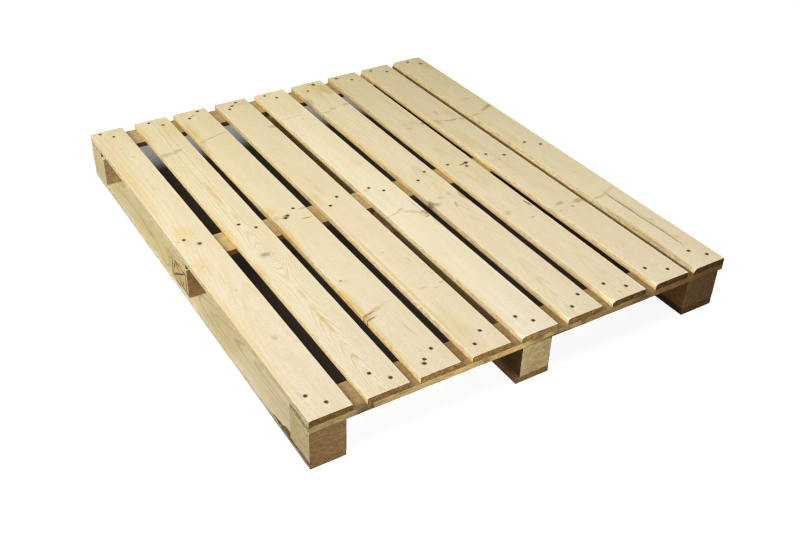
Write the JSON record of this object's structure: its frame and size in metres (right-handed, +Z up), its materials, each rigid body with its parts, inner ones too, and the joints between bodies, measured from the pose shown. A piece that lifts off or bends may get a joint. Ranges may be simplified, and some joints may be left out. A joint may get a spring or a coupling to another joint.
{
  "type": "wooden pallet",
  "caption": "Flat nailed softwood block pallet with close-spaced deck boards, cross stringer boards, spacer blocks and lengthwise skid boards, open to forks from all sides.",
  "frame": {"origin": "on the floor under the middle of the footprint", "axes": "+Z up, +Y along the deck boards and skids, +X along the stringer boards, from the left blocks to the right blocks"},
  "size_m": [1, 1.2, 0.117],
  "materials": {
    "deck_pine": "sawn, dry, pale",
    "stringer_pine": "sawn, dry",
    "block_pine": "rough sawn",
    "skid_pine": "sawn, dry",
    "nail_steel": "dark, oxidised"
  },
  "bodies": {
    "root": {"deck_board_1": "deck_pine", "deck_board_2": "deck_pine", "deck_board_3": "deck_pine", "deck_board_4": "deck_pine", "deck_board_5": "deck_pine", "deck_board_6": "deck_pine", "deck_board_7": "deck_pine", "deck_board_8": "deck_pine", "deck_board_9": "deck_pine", "stringer_board_near": "stringer_pine", "stringer_board_middle": "stringer_pine", "stringer_board_far": "stringer_pine", "block_left_near": "block_pine", "block_left_middle": "block_pine", "block_left_far": "block_pine", "block_centre_near": "block_pine", "block_centre_middle": "block_pine", "block_centre_far": "block_pine", "block_right_near": "block_pine", "block_right_middle": "block_pine", "block_right_far": "block_pine", "skid_board_left": "skid_pine", "skid_board_centre": "skid_pine", "skid_board_right": "skid_pine", "deck_block_nails_near": "nail_steel", "deck_clinch_nails_near": "nail_steel", "deck_block_nails_middle": "nail_steel", "deck_clinch_nails_middle": "nail_steel", "deck_block_nails_far": "nail_steel", "deck_clinch_nails_far": "nail_steel", "skid_nails_left": "nail_steel", "skid_nails_centre": "nail_steel", "skid_nails_right": "nail_steel"}
  },
  "joints": []
}
